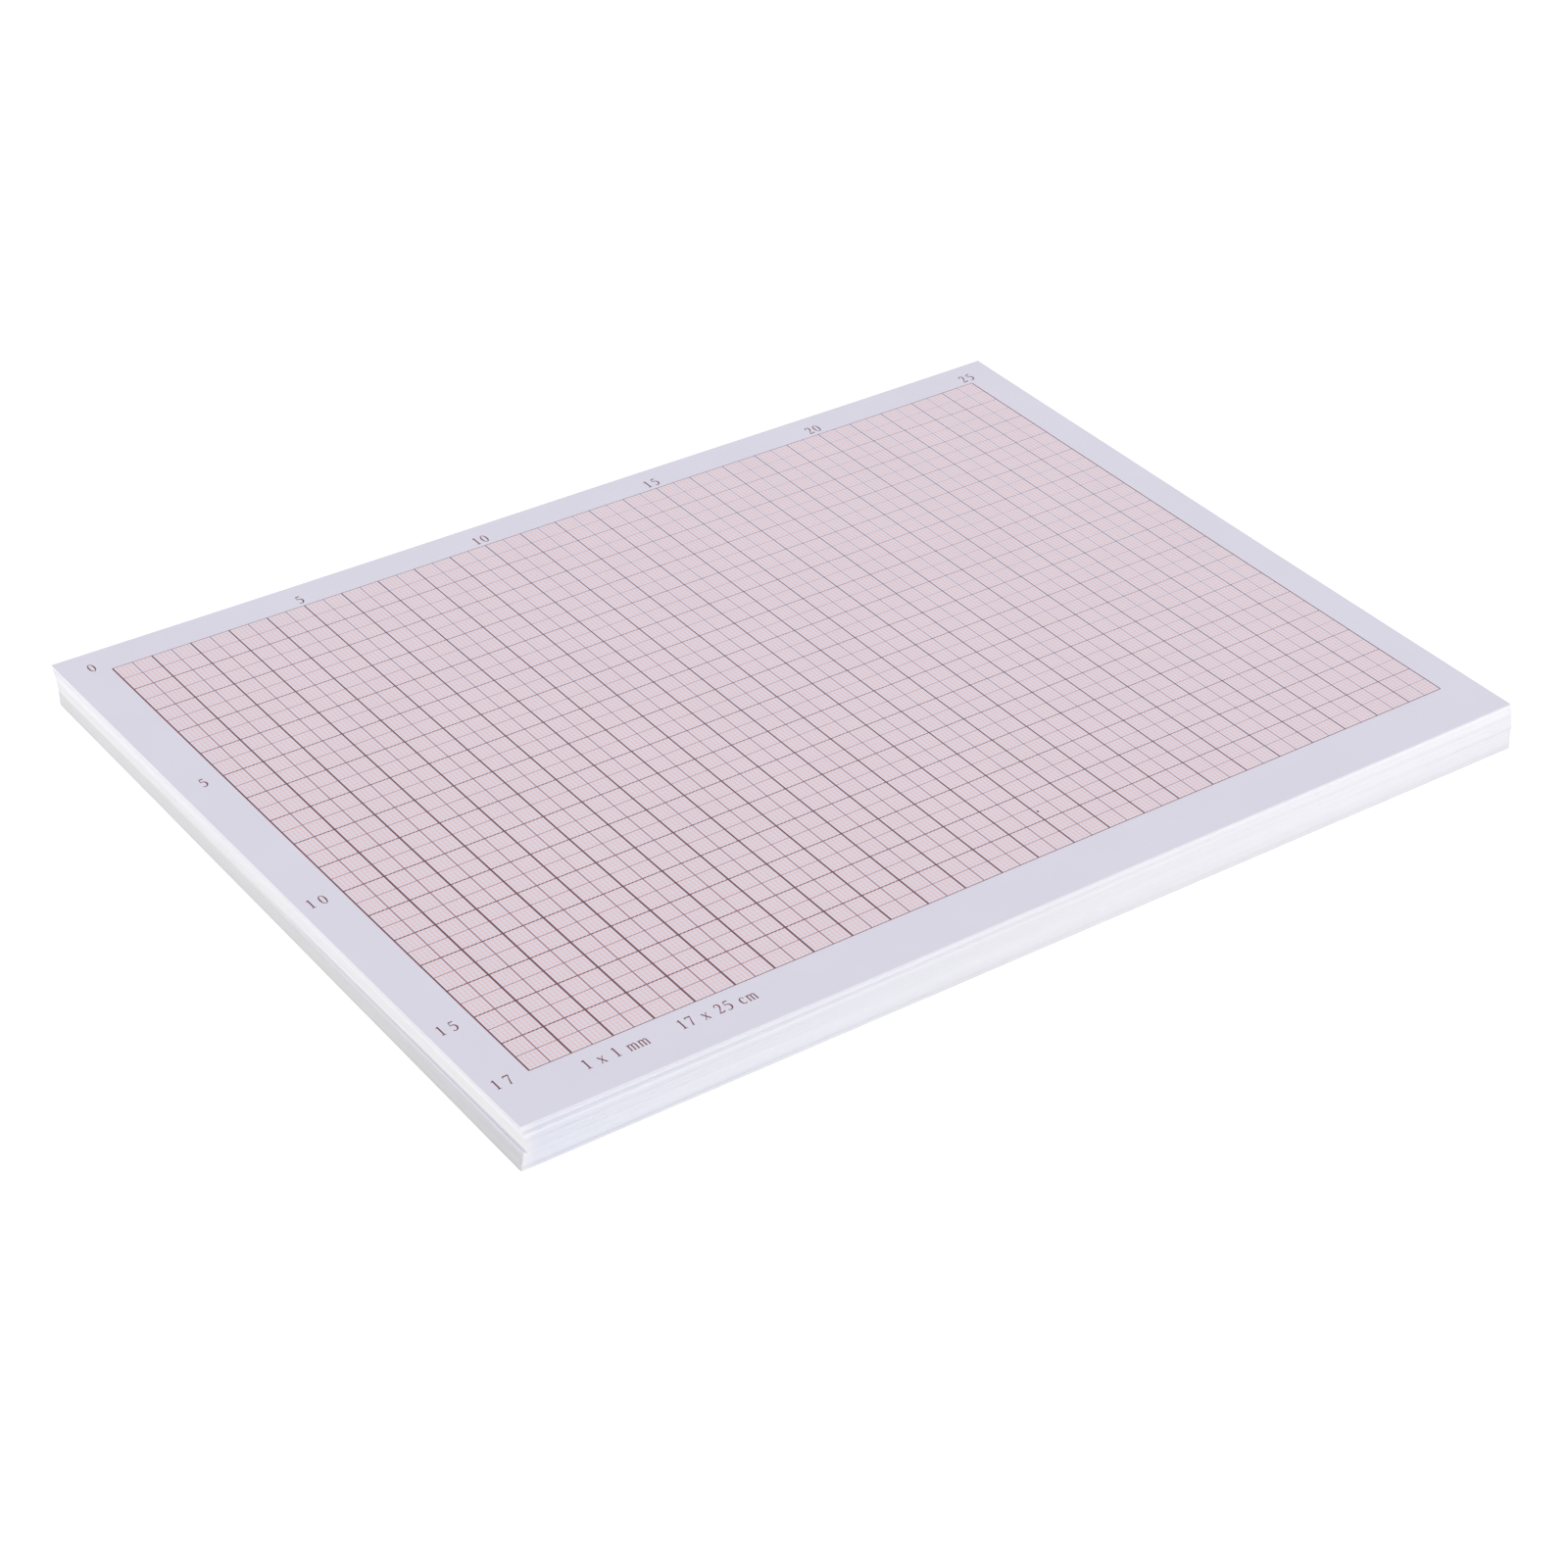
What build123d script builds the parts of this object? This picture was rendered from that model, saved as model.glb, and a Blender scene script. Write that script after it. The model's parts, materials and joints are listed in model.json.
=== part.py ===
"""Loose pack of one hundred millimetre-ruled paper sheets, laid flat in a stack.

The sheets are not bound: nothing but their own weight holds them, so they lie a
little out of line with one another. The frame has +X along the long side, +Y along
the short side away from the reader, +Z up, and its origin under the middle of the
stack, on the surface that the stack lies on.
"""

from build123d import *
import os
from math import cos, radians, sin
from random import Random

# Driving dimensions, in millimetres and degrees
sheet_length = 270.0
sheet_width = 192.0
sheet_thickness = 0.09
air_gap = 0.02
sheet_count = 100

# The top sheets are single pieces, and the rest are taken in packets of equal count
single_sheets = 20
packet_size = 10

# The pack was filled in two lots, each knocked up by hand
upper_lot = 58
upper_drift = (1.1, -0.8, 0.08)
lower_drift_start = (1.0, -0.4, -0.12)
lower_drift_end = (1.0, -0.7, -0.36)
jitter_shift = 0.05
jitter_turn = 0.012

pitch = sheet_thickness + air_gap
hand = Random(17)


def drift(number):
    """How far a sheet lies from the top one: along X, along Y, and turned about Z."""
    if number <= upper_lot:
        share = (number - 1) / (upper_lot - 1)
        trend = [share * full for full in upper_drift]
    else:
        share = (number - upper_lot) / (sheet_count - upper_lot)
        trend = [a + share * (b - a) for a, b in zip(lower_drift_start, lower_drift_end)]
    loose = (jitter_shift, jitter_shift, jitter_turn)
    return [t + hand.uniform(-amount, amount) for t, amount in zip(trend, loose)]


def corners(place):
    """The four corners of a sheet that lies at a place."""
    x, y, turn = place
    c, s = cos(radians(turn)), sin(radians(turn))
    halves = [(a * sheet_length / 2, b * sheet_width / 2) for a in (-1, 1) for b in (-1, 1)]
    return [(x + c * u - s * v, y + s * u + c * v) for u, v in halves]


def middle(values):
    """Half way between the lowest and the highest value."""
    return (min(values) + max(values)) / 2


# Sheet 1 is the top one. The stack as a whole is centred over the origin.
places = {number: drift(number) for number in range(1, sheet_count + 1)}
outline = [point for place in places.values() for point in corners(place)]
centre_x = middle([x for x, y in outline])
centre_y = middle([y for x, y in outline])


def sheet_plane(number):
    """The plane of a sheet's underside, turned as the sheet lies."""
    x, y, turn = places[number]
    height = (sheet_count - number) * pitch
    along = (cos(radians(turn)), sin(radians(turn)), 0)
    return Plane(origin=(x - centre_x, y - centre_y, height), x_dir=along, z_dir=(0, 0, 1))


def make_sheets(name, numbers):
    """Write one node: a single sheet, or a packet of sheets as separate solids."""
    with BuildPart() as sheets:
        for number in numbers:
            with BuildSketch(sheet_plane(number)):
                Rectangle(sheet_length, sheet_width)
            extrude(amount=sheet_thickness)
    sheets.part.label = name
    export_step(sheets.part, f"parts/{name}.step")


os.makedirs("parts", exist_ok=True)

# Single sheets, which come off the top one at a time
for number in range(1, single_sheets + 1):
    make_sheets(f"sheet_{number:02d}", [number])

# Packets, which lift with everything that lies on them
for first in range(single_sheets + 1, sheet_count + 1, packet_size):
    last = first + packet_size - 1
    make_sheets(f"sheets_{first}_to_{last}", range(first, last + 1))
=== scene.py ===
"""A loose pack of millimetre-ruled paper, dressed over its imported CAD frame.

Everything is in metres in the part's own frame: +X along the long side of the sheets, +Y away
from the reader, +Z up, and the origin under the middle of the stack on the table.
"""

import bpy
import json
from math import atan2, cos, radians, sin
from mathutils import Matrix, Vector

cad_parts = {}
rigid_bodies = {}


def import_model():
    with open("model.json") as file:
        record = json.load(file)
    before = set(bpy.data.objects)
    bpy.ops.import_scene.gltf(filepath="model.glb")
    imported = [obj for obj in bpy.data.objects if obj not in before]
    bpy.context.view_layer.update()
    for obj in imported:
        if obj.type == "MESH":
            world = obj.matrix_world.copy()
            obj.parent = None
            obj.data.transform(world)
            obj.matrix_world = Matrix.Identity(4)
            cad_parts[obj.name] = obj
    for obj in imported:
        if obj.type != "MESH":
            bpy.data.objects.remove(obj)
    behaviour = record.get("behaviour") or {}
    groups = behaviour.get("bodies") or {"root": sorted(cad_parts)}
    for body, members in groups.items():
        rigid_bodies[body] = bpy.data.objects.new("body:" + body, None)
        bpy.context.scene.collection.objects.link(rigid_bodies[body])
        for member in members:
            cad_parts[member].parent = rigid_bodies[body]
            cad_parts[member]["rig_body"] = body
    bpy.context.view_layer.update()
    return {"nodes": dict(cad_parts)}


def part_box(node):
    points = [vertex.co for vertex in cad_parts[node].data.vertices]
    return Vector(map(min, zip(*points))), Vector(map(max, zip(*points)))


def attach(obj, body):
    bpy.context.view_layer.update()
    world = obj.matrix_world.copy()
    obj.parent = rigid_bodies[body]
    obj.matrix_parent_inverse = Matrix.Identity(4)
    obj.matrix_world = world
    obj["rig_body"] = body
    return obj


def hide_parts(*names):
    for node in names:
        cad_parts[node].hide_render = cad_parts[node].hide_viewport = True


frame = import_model()
bpy.ops.object.select_all(action="DESELECT")

# The camera stands over the near left corner, at the height of someone seated at the
# table, with a long lens that keeps the two long sides of the paper nearly parallel.
mm = 0.001
top_low, top_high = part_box("sheet_01")
top_centre = (top_low + top_high) / 2
camera_place = (top_centre.x - 436.0 * mm, top_centre.y - 546.7 * mm, top_high.z + 461.4 * mm)
camera_turn = (radians(54.986), radians(-2.049), radians(-35.753))
bpy.ops.object.camera_add(location=camera_place, rotation=camera_turn)
camera = bpy.context.object
camera.name = "seated_view"
camera.data.sensor_width = 36
camera.data.lens = 84.78
camera.data.shift_x = 0.05
camera.data.clip_start = 0.01
bpy.context.scene.camera = camera

# The table is a plain white board, a little lit from under its surface, as a light box
# is, so that it stays white right up to the paper. It runs on past the end of any view.
table_span = 80
bpy.ops.mesh.primitive_plane_add(size=table_span, location=(0, 0, 0))
table = bpy.context.object
table.name = "white_table"
board = bpy.data.materials.new("white_board")
board.use_nodes = True
board_finish = board.node_tree.nodes["Principled BSDF"]
board_finish.inputs["Base Color"].default_value = (0.9, 0.9, 0.9, 1)
board_finish.inputs["Roughness"].default_value = 0.9
board_finish.inputs["Specular IOR Level"].default_value = 0.1
board_finish.inputs["Emission Color"].default_value = (1, 1, 1, 1)
board_finish.inputs["Emission Strength"].default_value = 0.42
table.data.materials.append(board)

# The studio: a white room, and two large soft boxes that stand low in front of the stack
# and to its left, so that the cut edges of the paper are lit more than its face. A small
# one behind the stack lifts the far end.
room = bpy.data.worlds.new("white_room")
room.use_nodes = True
bpy.context.scene.world = room
room.node_tree.nodes["Background"].inputs["Color"].default_value = (1, 1, 1, 1)
room.node_tree.nodes["Background"].inputs["Strength"].default_value = 0.74


def soft_box(name, place, aim, size, power):
    """A square soft light at a place, turned to face a point."""
    bpy.ops.object.light_add(type="AREA", location=place)
    box = bpy.context.object
    box.name = name
    box.data.shape = "SQUARE"
    box.data.size = size
    box.data.energy = power
    away = box.location - type(box.location)(aim)
    box.rotation_euler = away.to_track_quat("Z", "Y").to_euler()


soft_box("front_box", (0.75, -1.0, 0.22), (0.1, 0, 0), 0.6, 4.6)
soft_box("left_box", (-1.2, 0.45, 0.20), (0, 0, 0), 0.6, 4.4)
soft_box("far_box", (0.55, 0.75, 0.45), (0.1, 0.1, 0), 0.4, 0.7)

# Plain colours, and a noise filter that is guided by the raw colours of the fine ruling,
# with nothing smoothed beforehand.
bpy.context.scene.view_settings.view_transform = "Standard"
bpy.context.scene.cycles.denoising_input_passes = "RGB_ALBEDO"
bpy.context.scene.cycles.denoising_prefilter = "NONE"

# Paper: a smooth uncoated white sheet with a cool brightener in it. Its faces are faintly
# cloudy, with a very fine tooth in relief.
face_light, face_dark = (0.818, 0.798, 0.914, 1), (0.798, 0.778, 0.894, 1)
face_clouds, face_tooth, face_relief = 60, 2500, 0.006 * mm
even = (1, 1, 1)
noise_low, noise_high = 0.3, 0.7


def cloudy(finish, light, dark, grain, stretch):
    """A slow drift between two colours, over a piece's own coordinates."""
    nodes, wire = finish.node_tree.nodes, finish.node_tree.links
    place = nodes.new("ShaderNodeTexCoord")
    scale = nodes.new("ShaderNodeMapping")
    scale.inputs["Scale"].default_value = stretch
    drift = nodes.new("ShaderNodeTexNoise")
    drift.inputs["Scale"].default_value = grain
    drift.inputs["Detail"].default_value = 3
    tone = nodes.new("ShaderNodeValToRGB")
    tone.color_ramp.elements[0].position = noise_low
    tone.color_ramp.elements[0].color = dark
    tone.color_ramp.elements[1].position = noise_high
    tone.color_ramp.elements[1].color = light
    wire.new(place.outputs["Object"], scale.inputs["Vector"])
    wire.new(scale.outputs["Vector"], drift.inputs["Vector"])
    wire.new(drift.outputs["Fac"], tone.inputs["Fac"])
    return place, tone


def matt_paper(name, tooth, depth):
    """A dull paper surface with a fine tooth in relief."""
    finish = bpy.data.materials.new(name)
    finish.use_nodes = True
    nodes, wire = finish.node_tree.nodes, finish.node_tree.links
    surface = nodes["Principled BSDF"]
    surface.inputs["Roughness"].default_value = 0.88
    surface.inputs["Specular IOR Level"].default_value = 0.25
    place = nodes.new("ShaderNodeTexCoord")
    fibres = nodes.new("ShaderNodeTexNoise")
    fibres.inputs["Scale"].default_value = tooth
    fibres.inputs["Detail"].default_value = 2
    relief = nodes.new("ShaderNodeBump")
    relief.inputs["Distance"].default_value = depth
    relief.inputs["Strength"].default_value = 0.4
    wire.new(place.outputs["Object"], fibres.inputs["Vector"])
    wire.new(fibres.outputs["Fac"], relief.inputs["Height"])
    wire.new(relief.outputs["Normal"], surface.inputs["Normal"])
    return finish, surface, wire


sheet_face, surface, wire = matt_paper("paper_face", face_tooth, face_relief)
place, tone = cloudy(sheet_face, face_light, face_dark, face_clouds, even)
wire.new(tone.outputs["Color"], surface.inputs["Base Color"])

# The cut edges: whiter than the faces, because the blade leaves them rough, with long faint
# streaks.
# Tones go by height and by length, from 0 to 1: up the stack, and away along the edge. Beyond the
# edge's own tone, these tones are painted light and shade: a painted highlight along the top few
# sheets, painted shade towards the bottom, a grey band of painted shade on the left edges of the
# lower lot underneath, and painted light that grows towards the right end of the front and the far
# end of the left.
stack_height = top_high.z
edge_tooth, edge_relief = 1500, 0.004 * mm
streak_light, streak_dark = (1, 1, 1, 1), (0.97, 0.97, 0.972, 1)
streak_grain, flattened = 25, (1, 1, 45)
lot_line = 0.42
front_reach, left_reach = 135.0 * mm, 96.0 * mm
# Front edge by height: painted shade towards the bottom, and a painted highlight along the top few
# sheets.
front_heights_with_painted_light = [(0.0, (0.80, 0.80, 0.805)), (0.12, (0.835, 0.84, 0.86)),
                 (0.3, (0.865, 0.87, 0.89)), (0.79, (0.875, 0.88, 0.90)),
                 (0.85, (0.955, 0.957, 0.97)), (0.93, (0.965, 0.967, 0.975)),
                 (0.97, (0.975, 0.975, 0.985))]
# Front edge by length: a thin painted highlight at the near left corner, then painted light growing
# towards the right end, with a bluer tint to the left.
front_lengths_with_painted_light = [(0.0, (1, 1, 1)), (0.012, (0.90, 0.925, 0.968)), (0.12, (0.925, 0.94, 0.968)),
                 (0.5, (0.950, 0.946, 0.945)), (1.0, (0.985, 0.985, 0.975))]
# Left edge by height: below lot_line the lower lot is a grey band of painted shade; the top few
# sheets carry a painted highlight.
left_heights_with_painted_shade = [(0.0, (0.655, 0.655, 0.65)), (lot_line - 0.05, (0.69, 0.69, 0.685)),
                (lot_line + 0.04, (0.825, 0.825, 0.83)), (0.79, (0.855, 0.855, 0.86)),
                (0.83, (0.885, 0.885, 0.89)), (0.96, (0.92, 0.92, 0.93))]
# Left edge by length: painted light growing towards the far end.
left_lengths_with_painted_light = [(0.0, (0.92, 0.92, 0.915)), (0.9, (0.985, 0.985, 0.975))]


def cut_edge(name, heights, lengths, axis, reach):
    """A guillotined edge, toned by height and length with painted light and shade, with long faint
    streaks.
    """
    finish, surface, wire = matt_paper(name, edge_tooth, edge_relief)
    nodes = finish.node_tree.nodes
    place, streaks = cloudy(finish, streak_light, streak_dark, streak_grain, flattened)
    split = nodes.new("ShaderNodeSeparateXYZ")
    wire.new(place.outputs["Object"], split.inputs["Vector"])
    colour = streaks.outputs["Color"]
    for source, start, end, stops in (("Z", 0, stack_height, heights),
                                      (axis, -reach, reach, lengths)):
        level = nodes.new("ShaderNodeMapRange")
        level.inputs["From Min"].default_value = start
        level.inputs["From Max"].default_value = end
        shade = nodes.new("ShaderNodeValToRGB")
        while len(shade.color_ramp.elements) < len(stops):
            shade.color_ramp.elements.new(0.5)
        for stop, (position, tint) in zip(shade.color_ramp.elements, stops):
            stop.position = position
            stop.color = (*tint, 1)
        both = nodes.new("ShaderNodeMix")
        both.data_type = "RGBA"
        both.blend_type = "MULTIPLY"
        both.inputs["Factor"].default_value = 1
        wire.new(split.outputs[source], level.inputs["Value"])
        wire.new(level.outputs["Result"], shade.inputs["Fac"])
        wire.new(colour, both.inputs["A"])
        wire.new(shade.outputs["Color"], both.inputs["B"])
        colour = both.outputs["Result"]
    wire.new(colour, surface.inputs["Base Color"])
    return finish


# Both edge materials carry painted light and shade in their tones; the left one holds the painted
# shade of the lower lot.
front_cut = cut_edge("cut_edge", front_heights_with_painted_light, front_lengths_with_painted_light, "X", front_reach)
left_cut = cut_edge("left_cut_edge_painted_shade", left_heights_with_painted_shade, left_lengths_with_painted_light, "Y", left_reach)

# Each sheet is cut to 270 x 192 mm and has dried a little wavy, most at the top of the
# stack, where nothing presses it flat: its corners stand up by part of a millimetre.
sheet_count = 100
thickness = 0.09 * mm
length, width = 270 * mm, 192 * mm
left_margin, far_margin = 11 * mm, 8.5 * mm
ruled_length, ruled_width = 250 * mm, 170 * mm
steps_along, steps_across = 10, 8
first_column = left_margin - length / 2
first_row = width / 2 - far_margin - ruled_width
columns = [first_column + ruled_length * i / steps_along for i in range(steps_along + 1)]
rows = [first_row + ruled_width * i / steps_across for i in range(steps_across + 1)]
columns = [-length / 2] + columns + [length / 2]
rows = [-width / 2] + rows + [width / 2]
end_lift, side_lift = 0.22 * mm, 0.20 * mm
wave_along, ripple_along, start_along = 0.05 * mm, 38, 0.6
wave_across, ripple_across, start_across = 0.04 * mm, 47, -0.9


def curl_along(x):
    """How far the top sheet stands up at one of its columns."""
    wave = wave_along * (1 + sin(x * ripple_along + start_along))
    return end_lift * (2 * x / length) ** 4 + wave


def curl_across(y):
    """How far the top sheet stands up at one of its rows."""
    wave = wave_across * (1 + sin(y * ripple_across + start_across))
    return side_lift * (2 * y / width) ** 4 + wave


def between(value, stops, rise):
    """The rise at a value, taken straight between the two stops on either side of it."""
    after = next((i for i, stop in enumerate(stops) if stop > value + 1e-7), len(stops) - 1)
    before = max(after - 1, 0)
    share = (value - stops[before]) / (stops[after] - stops[before])
    return rise(stops[before]) * (1 - share) + rise(stops[after]) * share


# The stack has settled: each sheet all but touches the next one down, and leaves room for
# the film of ink where that one is printed. The bottom sheet lies on the table.
settled, settled_on_ink = 0.015 * mm, 0.005 * mm


def lay(mesh, x, y, turn, base, number):
    """Curl a flat mesh as the numbered sheet is curled, and put it where that sheet lies."""
    share = (sheet_count - number) / (sheet_count - 1)
    for corner in mesh.vertices:
        u, v, w = corner.co
        w += share * (between(u, columns, curl_along) + between(v, rows, curl_across))
        corner.co = (x + u * cos(turn) - v * sin(turn), y + u * sin(turn) + v * cos(turn), base + w)


def places_in(node):
    """Where the sheets of a CAD node lie, as (x, y, turn, underside), the top one first."""
    corners = [v.co for v in frame["nodes"][node].data.vertices]
    levels = sorted({round(co.z, 5) for co in corners}, reverse=True)
    found = []
    for underside in levels[1::2]:
        outline = [co for co in corners if abs(co.z - underside) < 0.02 * mm]
        x = (min(co.x for co in outline) + max(co.x for co in outline)) / 2
        y = (min(co.y for co in outline) + max(co.y for co in outline)) / 2
        near = [co for co in outline if co.y < y]
        left, right = min(near, key=lambda co: co.x), max(near, key=lambda co: co.x)
        found.append((x, y, atan2(right.y - left.y, right.x - left.x), underside))
    return found


bpy.ops.mesh.primitive_grid_add(
    x_subdivisions=len(columns) - 1, y_subdivisions=len(rows) - 1, size=1, location=(0, 0, 0))
blank = bpy.context.object
blank.name = "blank_sheet"
for corner in blank.data.vertices:
    i = round((corner.co.x + 0.5) * (len(columns) - 1))
    j = round((corner.co.y + 0.5) * (len(rows) - 1))
    corner.co = (columns[i], rows[j], thickness)
bpy.ops.object.modifier_add(type="SOLIDIFY")
blank.modifiers[-1].thickness = thickness
blank.modifiers[-1].offset = -1
bpy.ops.object.modifier_apply(modifier=blank.modifiers[-1].name)
for finish in (sheet_face, front_cut, left_cut):
    blank.data.materials.append(finish)
for face in blank.data.polygons:
    side = 2 if face.normal.x < -0.5 else 1
    face.material_index = 0 if abs(face.normal.z) > 0.5 else side

paper_nodes = sorted(frame["nodes"], key=lambda n: -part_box(n)[1].z)
number = 0
top_places = {}
for node in paper_nodes:
    sheets = []
    places = places_in(node)
    for x, y, turn, underside in places:
        number += 1
        sheet = bpy.data.objects.new(node.replace("sheet", "ruled_sheet"), blank.data.copy())
        bpy.context.collection.objects.link(sheet)
        if number < sheet_count:
            drop = settled if len(sheets) + 1 < len(places) else settled_on_ink
            for corner in sheet.data.vertices:
                corner.co.z -= drop if corner.co.z < thickness / 2 else 0
        lay(sheet.data, x, y, turn, underside, number)
        if not sheets:
            top_places[node] = (x, y, turn, underside + thickness, number)
        sheets.append(sheet)
    bpy.ops.object.select_all(action="DESELECT")
    for sheet in sheets:
        sheet.select_set(True)
    bpy.context.view_layer.objects.active = sheets[0]
    if len(sheets) > 1:
        bpy.ops.object.join()
    bpy.ops.object.shade_flat()
    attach(sheets[0], frame["nodes"][node]["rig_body"])
    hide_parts(node)
bpy.data.objects.remove(blank)

# The print: one press run in a pinkish brown. Hairlines every millimetre, a firmer line
# every five, and a dark line every ten, which also makes the border.
hairline_ink = (1.0, 0.56, 0.49)
firm_ink = (0.47, 0.18, 0.19)
dark_ink = (0.235, 0.082, 0.095)


def printed(name, colour):
    """A dry printing ink."""
    ink = bpy.data.materials.new(name)
    ink.use_nodes = True
    surface = ink.node_tree.nodes["Principled BSDF"]
    surface.inputs["Base Color"].default_value = (*colour, 1)
    surface.inputs["Roughness"].default_value = 0.8
    surface.inputs["Specular IOR Level"].default_value = 0.25
    return ink


inks = [printed("hairline_ink", hairline_ink), printed("firm_ink", firm_ink),
        printed("dark_ink", dark_ink)]
film_along, film_across = 0.010 * mm, 0.013 * mm
grid_left, grid_far = first_column, width / 2 - far_margin
lightest, heaviest, fade_length = 0.5, 1.35, 290 * mm


def impression_at(x, y):
    """How heavily a line prints: the roller pressed most at the near left corner."""
    return min(max(1 - (x + y) / fade_length, lightest), heaviest)


def ruled(along, first, broad, ink, repeats):
    """A strip of ink, repeated by a list of (count, gap), one array after another.

    All but the hairlines and the border are then broadened or narrowed by the impression.
    """
    film = film_along if along else film_across
    steps = steps_along if along else steps_across
    if along:
        bpy.ops.mesh.primitive_grid_add(x_subdivisions=steps, y_subdivisions=1, size=1)
    else:
        bpy.ops.mesh.primitive_grid_add(x_subdivisions=1, y_subdivisions=steps, size=1)
    strip = bpy.context.object
    for corner in strip.data.vertices:
        u, v, w = corner.co
        if along:
            corner.co = (grid_left + ruled_length / 2 + u * ruled_length,
                         grid_far - first + v * broad, film)
        else:
            corner.co = (grid_left + first + u * broad,
                         grid_far - ruled_width / 2 + v * ruled_width, film)
    bpy.ops.object.modifier_add(type="SOLIDIFY")
    strip.modifiers[-1].thickness = film
    strip.modifiers[-1].offset = -1
    bpy.ops.object.modifier_apply(modifier=strip.modifiers[-1].name)
    for count, gap in repeats:
        bpy.ops.object.modifier_add(type="ARRAY")
        rank = strip.modifiers[-1]
        rank.use_relative_offset = False
        rank.use_constant_offset = True
        rank.constant_offset_displace = (0, -gap, 0) if along else (gap, 0, 0)
        rank.count = count
        bpy.ops.object.modifier_apply(modifier=rank.name)
    if ink and repeats:
        side = 1 if along else 0
        for corner in strip.data.vertices:
            spot = (corner.co.x - grid_left, corner.co.y - grid_far)
            line = round(spot[side] / mm) * mm
            corner.co[side] += (spot[side] - line) * (impression_at(*spot) - 1)
    strip.data.materials.append(inks[ink])
    return strip


pieces_of_print = [
    ruled(True, 1 * mm, 0.07 * mm, 0, [(4, 1 * mm), (34, 5 * mm)]),
    ruled(False, 1 * mm, 0.17 * mm, 0, [(4, 1 * mm), (50, 5 * mm)]),
    ruled(True, 5 * mm, 0.15 * mm, 1, [(17, 10 * mm)]),
    ruled(False, 5 * mm, 0.21 * mm, 1, [(25, 10 * mm)]),
    ruled(True, 10 * mm, 0.24 * mm, 2, [(16, 10 * mm)]),
    ruled(False, 10 * mm, 0.35 * mm, 2, [(24, 10 * mm)]),
    ruled(True, 0, 0.15 * mm, 2, []),
    ruled(True, ruled_width, 0.19 * mm, 2, []),
    ruled(False, 0, 0.38 * mm, 2, []),
    ruled(False, ruled_length, 0.25 * mm, 2, []),
]


# The type: upright book numerals with thin and thick strokes and small feet, 3 mm high.
# Each letter is its pen strokes, as (across, up, breadth) in parts of the letter's height.
type_height = 3.0 * mm
alphabet = {
    "0": [[(0.30, 0.98, 0.05), (0.13, 0.82, 0.09), (0.08, 0.50, 0.13), (0.13, 0.18, 0.09),
           (0.30, 0.02, 0.05), (0.47, 0.18, 0.09), (0.52, 0.50, 0.13), (0.47, 0.82, 0.09),
           (0.30, 0.98, 0.05)]],
    "1": [[(0.14, 0.84, 0.04), (0.24, 0.89, 0.06), (0.31, 0.97, 0.05)],
          [(0.31, 0.98, 0.12), (0.31, 0.02, 0.12)],
          [(0.14, 0.02, 0.05), (0.48, 0.02, 0.05)]],
    "2": [[(0.09, 0.72, 0.05), (0.15, 0.91, 0.08), (0.30, 0.97, 0.08), (0.44, 0.88, 0.12),
           (0.45, 0.68, 0.12), (0.34, 0.42, 0.08), (0.10, 0.06, 0.05)],
          [(0.08, 0.05, 0.10), (0.50, 0.05, 0.10)], [(0.49, 0.03, 0.05), (0.54, 0.20, 0.04)]],
    "5": [[(0.17, 0.93, 0.10), (0.50, 0.95, 0.10)], [(0.18, 0.95, 0.05), (0.13, 0.56, 0.05)],
          [(0.13, 0.57, 0.04), (0.30, 0.62, 0.08), (0.47, 0.50, 0.12), (0.50, 0.27, 0.13),
           (0.37, 0.06, 0.09), (0.20, 0.01, 0.07), (0.07, 0.08, 0.09)]],
    "7": [[(0.08, 0.93, 0.11), (0.53, 0.93, 0.11)], [(0.08, 0.95, 0.05), (0.06, 0.76, 0.04)],
          [(0.51, 0.92, 0.05), (0.36, 0.50, 0.08), (0.24, 0.01, 0.11)]],
    "x": [[(0.10, 0.64, 0.11), (0.47, 0.04, 0.11)], [(0.46, 0.64, 0.05), (0.11, 0.04, 0.05)],
          [(0.03, 0.65, 0.04), (0.20, 0.65, 0.04)], [(0.38, 0.65, 0.04), (0.53, 0.65, 0.04)],
          [(0.03, 0.02, 0.04), (0.19, 0.02, 0.04)], [(0.37, 0.02, 0.04), (0.55, 0.02, 0.04)]],
    "c": [[(0.47, 0.52, 0.08), (0.40, 0.64, 0.06), (0.26, 0.66, 0.06), (0.13, 0.53, 0.11),
           (0.10, 0.33, 0.13), (0.15, 0.11, 0.10), (0.30, 0.01, 0.07), (0.48, 0.13, 0.04)]],
    "m": [[(0.13, 0.65, 0.10), (0.13, 0.02, 0.10)],
          [(0.14, 0.48, 0.04), (0.24, 0.62, 0.06), (0.36, 0.62, 0.09), (0.41, 0.48, 0.10),
           (0.41, 0.02, 0.10)],
          [(0.42, 0.48, 0.04), (0.52, 0.62, 0.06), (0.64, 0.62, 0.09), (0.69, 0.48, 0.10),
           (0.69, 0.02, 0.10)],
          [(0.04, 0.64, 0.04), (0.13, 0.64, 0.04)], [(0.04, 0.02, 0.04), (0.22, 0.02, 0.04)],
          [(0.32, 0.02, 0.04), (0.50, 0.02, 0.04)], [(0.60, 0.02, 0.04), (0.78, 0.02, 0.04)]],
}
advance = {"m": 0.88, "c": 0.62, " ": 0.45}
plain_advance, wide_advance = 0.72, 0.98


def rounded(points):
    """The same pen stroke with more points, along a smooth curve through the given ones."""
    if len(points) == 2:
        return points
    ends = [points[0]] + points + [points[-1]]
    if points[0] == points[-1]:
        ends = [points[-2]] + points + [points[1]]
    smooth = []
    for before, a, b, after in zip(ends, ends[1:], ends[2:], ends[3:]):
        for t in (0, 1 / 3, 2 / 3):
            smooth.append(tuple(
                a[k] + 0.5 * t * (b[k] - before[k])
                + t * t * (before[k] - 2.5 * a[k] + 2 * b[k] - 0.5 * after[k])
                + t ** 3 * 0.5 * (3 * a[k] - before[k] - 3 * b[k] + after[k]) for k in range(3)))
    return smooth + [points[-1]]


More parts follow.
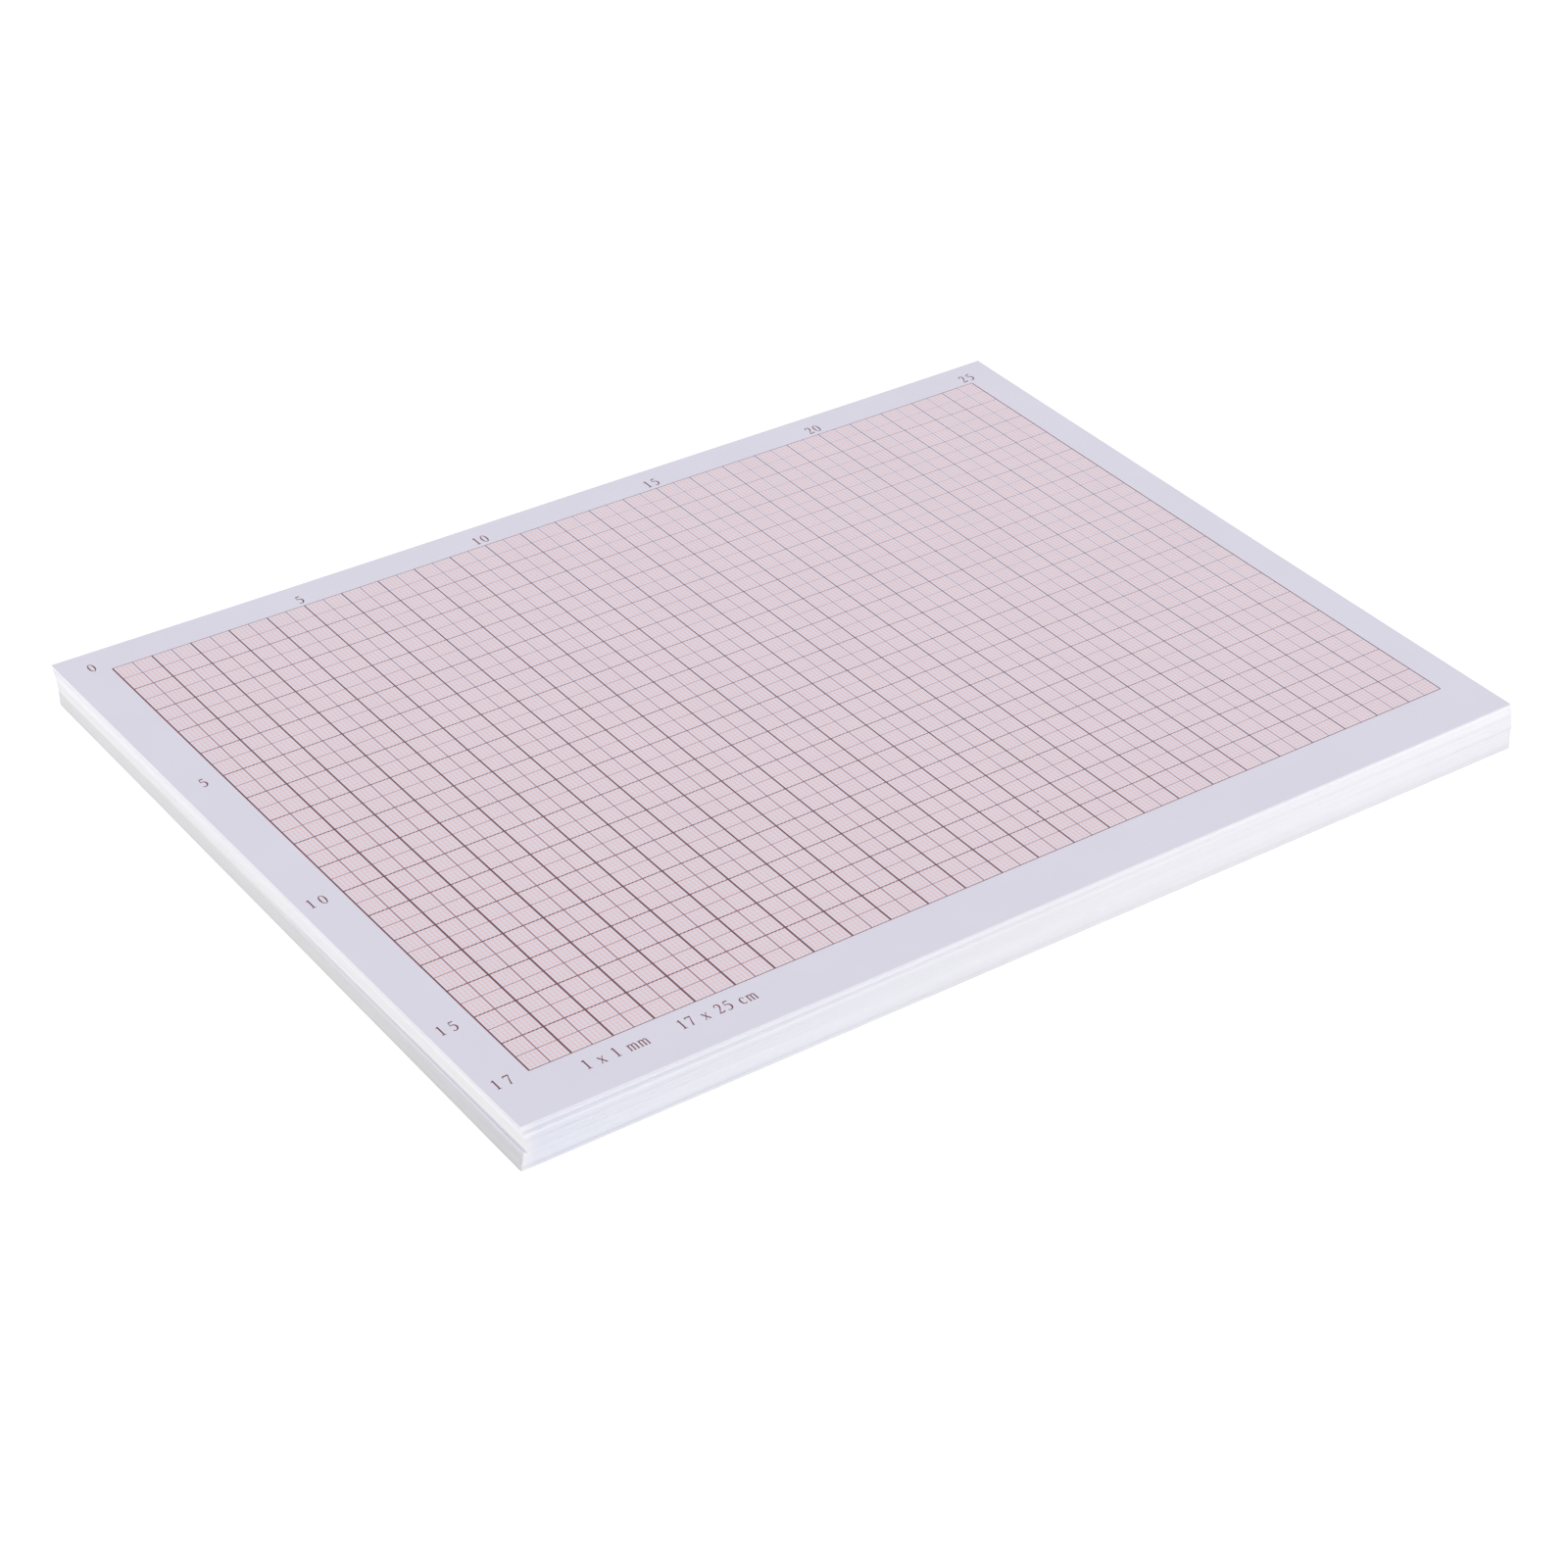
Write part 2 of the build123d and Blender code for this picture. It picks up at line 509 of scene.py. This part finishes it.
def pen_stroke(path, x, y):
    """One stroke of the pen, its foot at x and y from the far left corner of the ruling."""
    bpy.ops.mesh.primitive_grid_add(x_subdivisions=len(path) - 1, y_subdivisions=1, size=1)
    stroke = bpy.context.object
    closed = len(path) > 2 and path[0] == path[-1]
    for corner in stroke.data.vertices:
        i = round((corner.co.x + 0.5) * (len(path) - 1))
        u, v, breadth = path[i]
        back = path[i - 1] if i else path[-2] if closed else path[0]
        on = path[i + 1] if i + 1 < len(path) else path[1] if closed else path[-1]
        slope = atan2(on[1] - back[1], on[0] - back[0])
        half = breadth / 2 if corner.co.y > 0 else -breadth / 2
        corner.co = (grid_left + x + (u - half * sin(slope)) * type_height,
                     grid_far + y + (v + half * cos(slope)) * type_height, film_along)
    return stroke


def lettered(words, x, y, spread, anchor):
    """A number or a few words, x and y from the far left corner of the ruling to its foot."""
    widths = [spread if c.isdigit() and spread else advance.get(c, plain_advance) for c in words]
    pen = x - anchor * sum(widths) * type_height
    strokes = []
    for letter, step in zip(words, widths):
        strokes += [pen_stroke(rounded(stroke), pen, y) for stroke in alphabet.get(letter, [])]
        pen += step * type_height
    bpy.ops.object.select_all(action="DESELECT")
    for stroke in strokes:
        stroke.select_set(True)
    line = strokes[0]
    bpy.context.view_layer.objects.active = line
    bpy.ops.object.join()
    bpy.ops.object.mode_set(mode="EDIT")
    bpy.ops.mesh.select_all(action="SELECT")
    bpy.ops.mesh.remove_doubles(threshold=1e-6)
    bpy.ops.object.mode_set(mode="OBJECT")
    bpy.ops.object.modifier_add(type="SOLIDIFY")
    line.modifiers[-1].thickness = film_along
    line.modifiers[-1].offset = -1
    bpy.ops.object.modifier_apply(modifier=line.modifiers[-1].name)
    line.data.materials.append(inks[2])
    return line


for count in (5, 10, 15, 20, 25):
    pieces_of_print.append(lettered(str(count), (count * 10 + 0.6) * mm, 1.2 * mm, 0.76, 0.5))
for count in (5, 10, 15, 17):
    pieces_of_print.append(
        lettered(str(count), -2.9 * mm, (-count * 10 - 1.6) * mm, wide_advance, 1))
pieces_of_print.append(lettered("0", -3.3 * mm, 1.1 * mm, wide_advance, 0.5))
pieces_of_print.append(lettered("1 x 1 mm", 9.5 * mm, -176.0 * mm, 0, 0))
pieces_of_print.append(lettered("17 x 25 cm", 32.5 * mm, -176.0 * mm, 0, 0))

bpy.ops.object.select_all(action="DESELECT")
for piece in pieces_of_print:
    piece.select_set(True)
plate = pieces_of_print[0]
bpy.context.view_layer.objects.active = plate
bpy.ops.object.join()
plate.name = "plate"
for node in paper_nodes:
    impression = bpy.data.objects.new(node.replace("sheet", "print_on_sheet"), plate.data.copy())
    bpy.context.collection.objects.link(impression)
    lay(impression.data, *top_places[node])
    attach(impression, frame["nodes"][node]["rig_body"])
bpy.data.objects.remove(plate)

# One stray fleck of the dark ink, a little over half a millimetre wide, has dried near the
# front of the top sheet. It is as thin as the print.
fleck_along, fleck_across, fleck_radius = 140.8 * mm, 156.8 * mm, 0.3 * mm
bpy.ops.mesh.primitive_cylinder_add(
    vertices=12, radius=fleck_radius, depth=film_across,
    location=(grid_left + fleck_along, grid_far - fleck_across, film_across / 2))
fleck = bpy.context.object
bpy.ops.object.transform_apply(location=True)
fleck.name = "ink_fleck"
fleck.data.materials.append(inks[2])
lay(fleck.data, *top_places["sheet_01"])
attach(fleck, frame["nodes"]["sheet_01"]["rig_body"])
